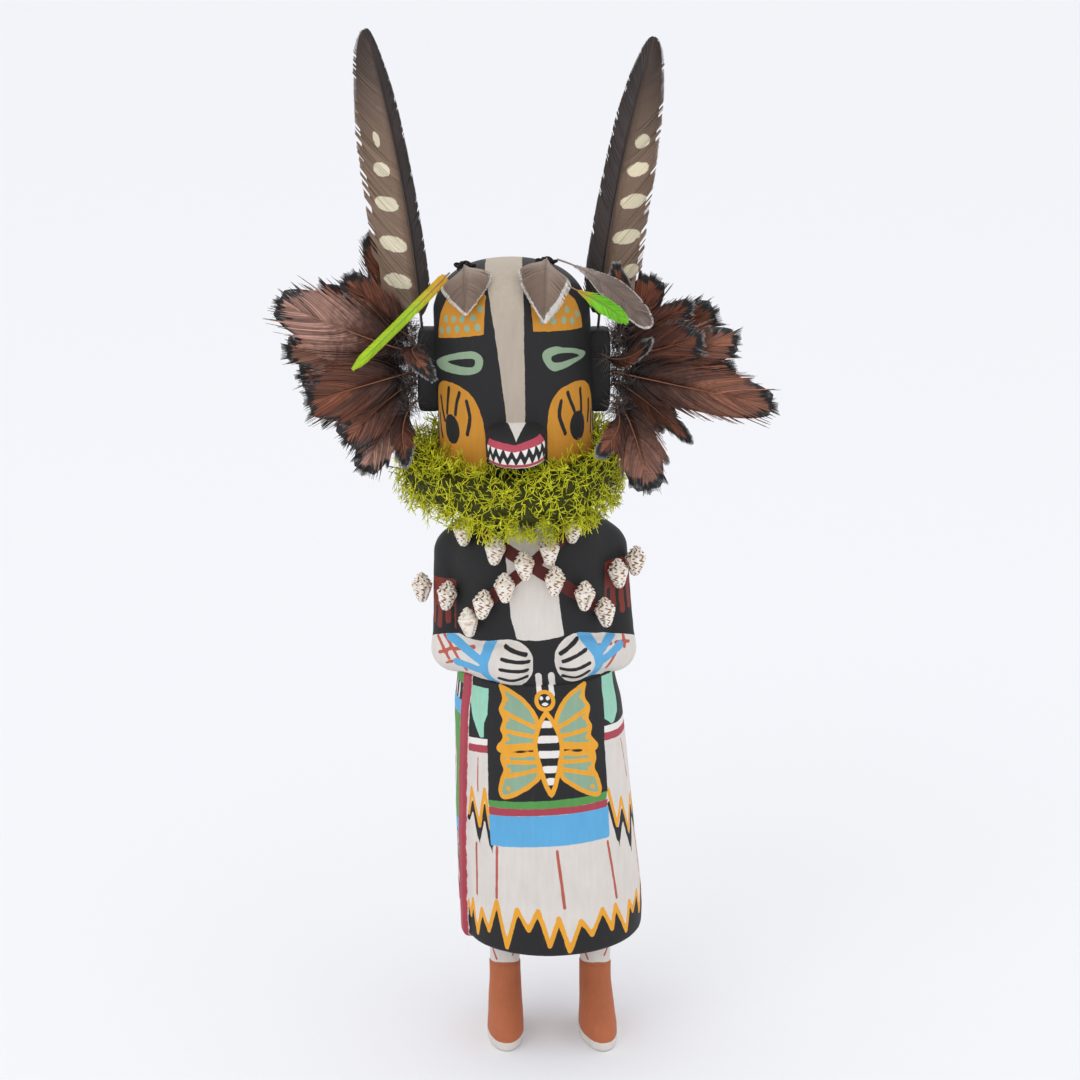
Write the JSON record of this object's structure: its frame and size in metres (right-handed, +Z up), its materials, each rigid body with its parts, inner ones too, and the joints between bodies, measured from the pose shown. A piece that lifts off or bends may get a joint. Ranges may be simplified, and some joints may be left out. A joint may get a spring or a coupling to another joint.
{
  "type": "kachina doll",
  "caption": "Standing carved and painted cottonwood katsina doll with case mask, lichen ruff, feather bunches, tall wing feathers and small shells across the chest",
  "frame": {"origin": "bottom centre of the whole doll, feathers included, on the surface that the boots stand on", "axes": "+Z up, the doll faces -Y, its own right hand side is toward -X; left and right in node names are the doll's own"},
  "size_m": [0.2218, 0.1044, 0.4641],
  "materials": {
    "painted_cottonwood": "matte earth and acrylic paint on carved cottonwood root",
    "snout_paint": "matte black paint with red lips and white teeth",
    "black_wood": "matte black paint on wood",
    "lichen": "dyed yellow-green reindeer lichen, dry and springy",
    "wing_feather": "dark brown flight feather with cream painted spots",
    "rust_feather": "rust-brown body feather with black and grey tip",
    "grey_feather": "grey-brown covert feather with a white edge",
    "green_feather": "lime green feather",
    "black_cord": "waxed black cord",
    "shell": "small glossy sea shell, white with brown marks"
  },
  "bodies": {
    "root": {"carved_figure": "painted_cottonwood", "snout": "snout_paint", "ear_right": "black_wood", "ear_left": "black_wood", "lichen_ruff": "lichen", "wing_feather_right": "wing_feather", "wing_feather_left": "wing_feather", "bunch_feather_right_1": "rust_feather", "bunch_feather_right_2": "rust_feather", "bunch_feather_right_3": "rust_feather", "bunch_feather_right_4": "rust_feather", "bunch_feather_right_5": "rust_feather", "bunch_feather_right_6": "rust_feather", "bunch_feather_right_7": "rust_feather", "bunch_feather_right_8": "rust_feather", "bunch_feather_right_9": "rust_feather", "bunch_feather_right_10": "rust_feather", "bunch_feather_right_11": "rust_feather", "bunch_feather_right_12": "rust_feather", "bunch_feather_left_1": "rust_feather", "bunch_feather_left_2": "rust_feather", "bunch_feather_left_3": "rust_feather", "bunch_feather_left_4": "rust_feather", "bunch_feather_left_5": "rust_feather", "bunch_feather_left_6": "rust_feather", "bunch_feather_left_7": "rust_feather", "bunch_feather_left_8": "rust_feather", "bunch_feather_left_9": "rust_feather", "bunch_feather_left_10": "rust_feather", "bunch_feather_left_11": "rust_feather", "bunch_feather_left_12": "rust_feather", "curled_feather_right": "rust_feather", "curled_feather_left": "rust_feather", "cord_knot_right": "black_cord", "cord_knot_left": "black_cord", "forehead_covert_right": "grey_feather", "forehead_green_right": "green_feather", "forehead_covert_left": "grey_feather", "forehead_grey_left": "grey_feather", "forehead_green_left": "green_feather", "bandolier_shell_1": "shell", "bandolier_shell_2": "shell", "bandolier_shell_3": "shell", "bandolier_shell_4": "shell", "bandolier_shell_5": "shell", "bandolier_shell_6": "shell", "bandolier_shell_7": "shell", "bandolier_shell_8": "shell", "bandolier_shell_9": "shell", "bandolier_shell_10": "shell", "bandolier_shell_11": "shell", "armband_shell_1": "shell", "armband_shell_2": "shell", "armband_shell_3": "shell", "armband_shell_4": "shell"}
  },
  "joints": []
}
